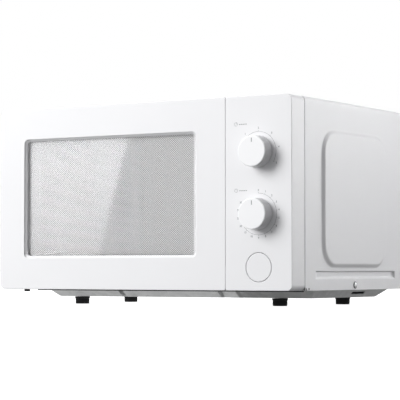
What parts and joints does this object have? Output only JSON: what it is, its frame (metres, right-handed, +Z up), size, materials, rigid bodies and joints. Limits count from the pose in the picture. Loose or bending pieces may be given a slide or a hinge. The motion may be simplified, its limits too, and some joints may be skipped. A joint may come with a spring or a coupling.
{
  "type": "microwave oven",
  "caption": "Countertop microwave oven with a side-hinged window door, two rotary knobs, a push button that releases the door, and a turning glass plate.",
  "frame": {"origin": "on the surface the feet stand on, under the middle of the bounding box", "axes": "+X to the right seen from the front, +Y to the back, +Z up"},
  "size_m": [0.446, 0.34, 0.255],
  "materials": {
    "white_plastic": "fine satin",
    "white_enamel": "powder coat",
    "grey_enamel": "baked enamel",
    "galvanised_steel": "zinc coated",
    "bright_steel": "bright",
    "black_rubber": "matte",
    "black_plastic": "matte",
    "grey_plastic": "matte",
    "clear_glass": "clear",
    "mica_sheet": "pressed mica",
    "copper_wire": "varnished copper wire",
    "core_steel": "varnished laminations",
    "aluminium": "satin",
    "board_green": "lacquered board"
  },
  "bodies": {
    "oven": {"outer_cabinet": "white_enamel", "front_plate": "white_enamel", "base_pan": "galvanised_steel", "rear_panel": "galvanised_steel", "cord_gland": "black_plastic", "side_screw_left": "bright_steel", "side_screw_right": "bright_steel", "foot_front_left": "black_rubber", "foot_front_right": "black_rubber", "foot_rear_left": "black_rubber", "foot_rear_right": "black_rubber", "oven_cavity": "grey_enamel", "waveguide": "galvanised_steel", "waveguide_cover": "mica_sheet", "lower_hinge": "galvanised_steel", "upper_hinge": "galvanised_steel", "latch_bracket": "white_plastic", "primary_switch": "black_plastic", "monitor_switch": "black_plastic", "secondary_switch": "black_plastic", "control_panel": "white_plastic", "timer_unit": "grey_plastic", "timer_bell": "bright_steel", "power_selector": "grey_plastic", "turntable_motor": "galvanised_steel", "magnetron_yoke": "galvanised_steel", "magnetron_tube": "aluminium", "transformer_core": "core_steel", "transformer_winding": "copper_wire", "hv_capacitor": "aluminium", "capacitor_clamp": "galvanised_steel", "hv_diode": "black_plastic", "fan_shroud": "grey_plastic", "fan_motor": "core_steel", "air_duct": "white_plastic", "lamp_socket": "white_plastic", "lamp_bulb": "clear_glass", "thermal_cutout": "black_plastic", "filter_board": "board_green"},
    "door": {"door_frame": "white_plastic", "door_window": "clear_glass", "door_screen": "white_enamel", "door_inner_film": "clear_glass", "choke_cover": "grey_plastic"},
    "latch": {"latch_hooks": "white_plastic", "latch_spring": "bright_steel"},
    "button": {"door_button": "white_plastic", "button_spring": "bright_steel"},
    "lever": {"release_lever": "grey_plastic"},
    "power_dial": {"power_knob": "white_plastic", "power_shaft": "bright_steel"},
    "timer_dial": {"timer_knob": "white_plastic", "timer_shaft": "bright_steel"},
    "turntable": {"glass_turntable": "clear_glass", "turntable_coupler": "white_plastic"},
    "roller_carrier": {"roller_ring": "white_plastic"},
    "roller_wheel_1": {"roller_1": "white_plastic"},
    "roller_wheel_2": {"roller_2": "white_plastic"},
    "roller_wheel_3": {"roller_3": "white_plastic"},
    "fan": {"fan_blade": "black_plastic"}
  },
  "joints": [
    {"name": "door_hinge", "type": "hinge", "parent": "oven", "child": "door", "pos_m": [-0.208, -0.1345, 0.02], "axis": [0, 0, -1], "range_deg": [0, 90]},
    {"name": "latch_lift", "type": "slide", "parent": "door", "child": "latch", "axis": [0, 0, 1], "range_m": [0, 0.004], "deforming": ["latch_spring"]},
    {"name": "button_press", "type": "slide", "parent": "oven", "child": "button", "axis": [0, 1, 0], "range_m": [0, 0.005], "stiffness_N_per_m": 400, "deforming": ["button_spring"]},
    {"name": "lever_tilt", "type": "hinge", "parent": "oven", "child": "lever", "pos_m": [0.1742, -0.096, 0.034], "axis": [-1, 0, 0], "range_deg": [0, 21]},
    {"name": "power_turn", "type": "hinge", "parent": "oven", "child": "power_dial", "pos_m": [0.1742, -0.153, 0.187], "axis": [0, 1, 0], "range_deg": [-40, 120]},
    {"name": "timer_turn", "type": "hinge", "parent": "oven", "child": "timer_dial", "pos_m": [0.1742, -0.153, 0.112], "axis": [0, 1, 0], "range_deg": [0, 300]},
    {"name": "turntable_spin", "type": "hinge", "parent": "oven", "child": "turntable", "pos_m": [-0.0475, 0.019, 0.04], "axis": [0, 0, 1], "continuous": true},
    {"name": "ring_turn", "type": "hinge", "parent": "oven", "child": "roller_carrier", "pos_m": [-0.0475, 0.019, 0.04], "axis": [0, 0, 1], "continuous": true},
    {"name": "roller_1_spin", "type": "hinge", "parent": "roller_carrier", "child": "roller_wheel_1", "pos_m": [-0.0475, 0.107, 0.0434], "axis": [0, 1, 0], "continuous": true},
    {"name": "roller_2_spin", "type": "hinge", "parent": "roller_carrier", "child": "roller_wheel_2", "pos_m": [-0.12371, -0.025, 0.0434], "axis": [-0.866, -0.5, 0], "continuous": true},
    {"name": "roller_3_spin", "type": "hinge", "parent": "roller_carrier", "child": "roller_wheel_3", "pos_m": [0.02871, -0.025, 0.0434], "axis": [0.866, -0.5, 0], "continuous": true},
    {"name": "fan_spin", "type": "hinge", "parent": "oven", "child": "fan", "pos_m": [0.164, 0.1325, 0.172], "axis": [0, 1, 0], "continuous": true}
  ],
  "couplings": [
    {"joint": "latch_lift", "follows": "button_press", "ratio": 0.8},
    {"joint": "lever_tilt", "follows": "button_press", "rad_per_m": 72},
    {"joint": "ring_turn", "follows": "turntable_spin", "ratio": 0.5},
    {"joint": "roller_1_spin", "follows": "turntable_spin", "ratio": -5.5},
    {"joint": "roller_2_spin", "follows": "turntable_spin", "ratio": -5.5},
    {"joint": "roller_3_spin", "follows": "turntable_spin", "ratio": -5.5}
  ]
}
